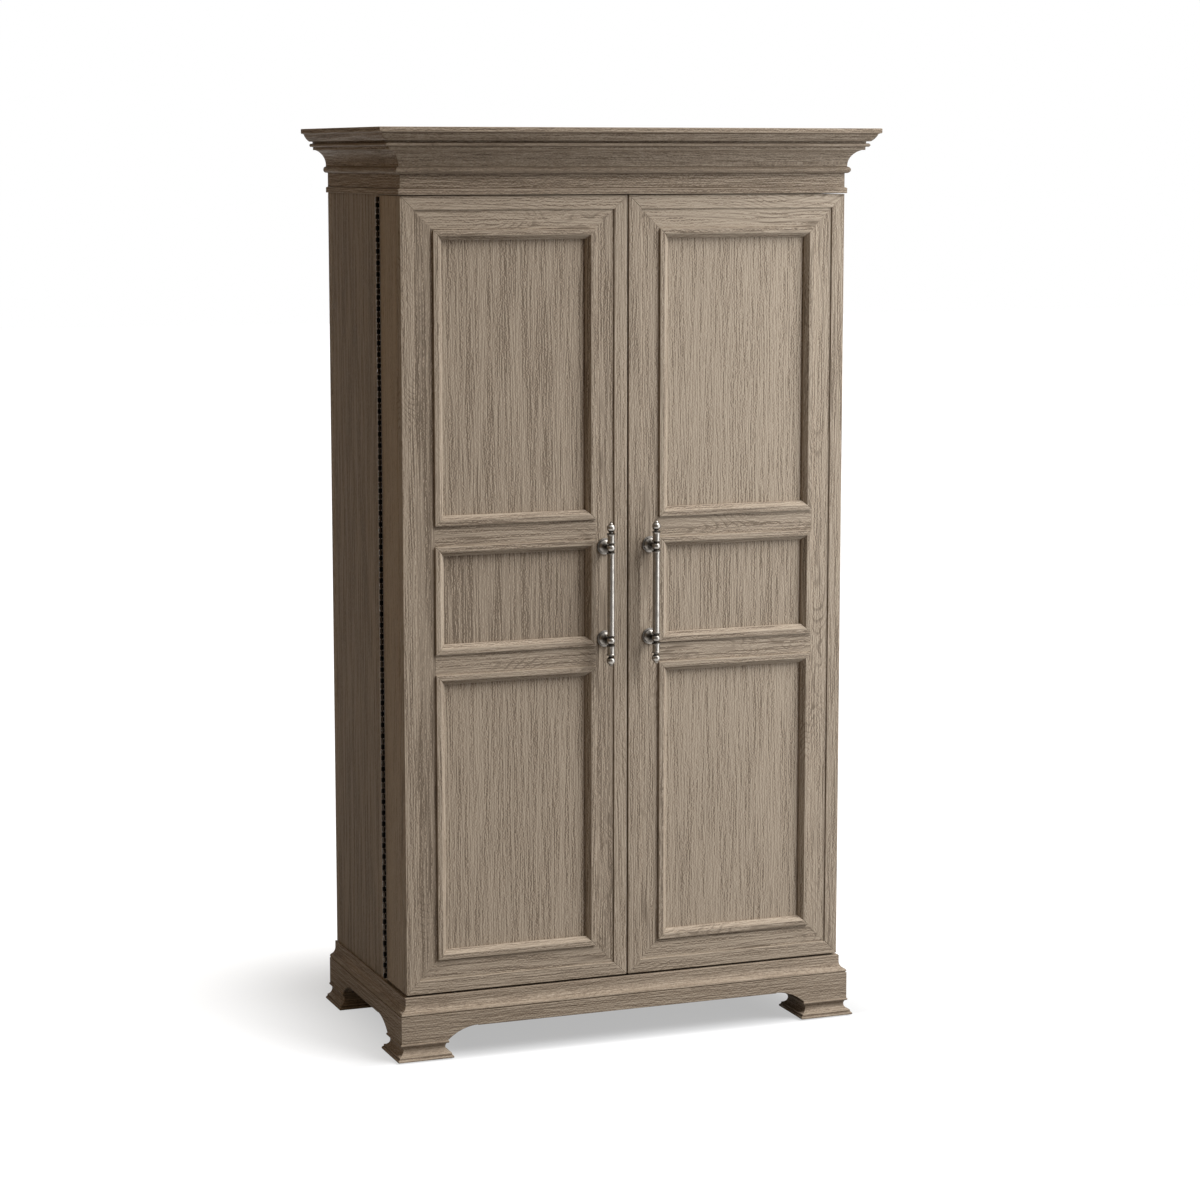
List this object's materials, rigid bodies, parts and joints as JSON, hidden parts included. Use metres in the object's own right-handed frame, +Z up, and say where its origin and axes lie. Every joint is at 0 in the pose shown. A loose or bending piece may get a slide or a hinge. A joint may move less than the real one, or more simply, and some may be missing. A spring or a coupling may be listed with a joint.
{
  "type": "bar cabinet",
  "caption": "Tall free-standing bar cabinet with a moulded crown, deep box doors on continuous hinges, inner shelves and stemware rails, and a moulded base on bracket feet.",
  "frame": {"origin": "on the floor, at the middle of the overall width and depth", "axes": "+Z up, +X to the right seen from the front, the doors face -Y"},
  "size_m": [1.1938, 0.6224, 2.0828],
  "materials": {
    "oak": "weathered grey-brown, brushed",
    "oak_panel": "weathered grey-brown, straight grain",
    "pewter": "aged pewter",
    "hinge_metal": "dark bronze",
    "rail_metal": "aged pewter",
    "catch_plastic": "matt",
    "glide_plastic": "matt"
  },
  "bodies": {
    "case": {"base_back_rail": "oak", "base_cap": "oak", "base_deck": "oak", "base_front_rail": "oak", "base_left_rail": "oak", "base_right_rail": "oak", "case_back_panel": "oak_panel", "case_bottom": "oak", "case_edging": "oak", "case_left_side": "oak_panel", "case_right_side": "oak_panel", "case_top": "oak", "corner_blocks": "oak", "crown_back_board": "oak", "crown_moulding_front": "oak", "crown_moulding_left": "oak", "crown_moulding_right": "oak", "crown_soffit": "oak", "crown_top_panel": "oak", "floor_glides": "glide_plastic", "foot_blocks": "oak", "frieze_front": "oak", "frieze_left": "oak", "frieze_right": "oak", "hinge_pins": "hinge_metal", "left_hinge_case_leaf": "hinge_metal", "lower_divider": "oak", "lower_shelves": "oak", "magnetic_catches": "catch_plastic", "right_hinge_case_leaf": "hinge_metal", "serving_counter": "oak", "shelf_pins": "rail_metal", "stemware_rails": "oak", "upper_shelves": "oak"},
    "left_door": {"left_bottle_rails": "rail_metal", "left_door_band": "oak", "left_door_end_walls": "oak", "left_door_panels": "oak_panel", "left_door_rails": "oak", "left_door_shelves": "oak", "left_door_side_walls": "oak", "left_door_stiles": "oak", "left_door_strike": "rail_metal", "left_handle_bar": "pewter", "left_handle_posts": "pewter", "left_hinge_door_leaf": "hinge_metal", "left_panel_mouldings": "oak"},
    "right_door": {"right_bottle_rails": "rail_metal", "right_door_band": "oak", "right_door_end_walls": "oak", "right_door_panels": "oak_panel", "right_door_rails": "oak", "right_door_shelves": "oak", "right_door_side_walls": "oak", "right_door_stiles": "oak", "right_door_strike": "rail_metal", "right_handle_bar": "pewter", "right_handle_posts": "pewter", "right_hinge_door_leaf": "hinge_metal", "right_panel_mouldings": "oak"}
  },
  "joints": [
    {"name": "left_door_hinge", "type": "hinge", "parent": "case", "child": "left_door", "pos_m": [-0.5377, -0.09525, 1.04], "axis": [0, 0, -1], "range_deg": [0, 180]},
    {"name": "right_door_hinge", "type": "hinge", "parent": "case", "child": "right_door", "pos_m": [0.5377, -0.09525, 1.04], "axis": [0, 0, 1], "range_deg": [0, 180]}
  ]
}
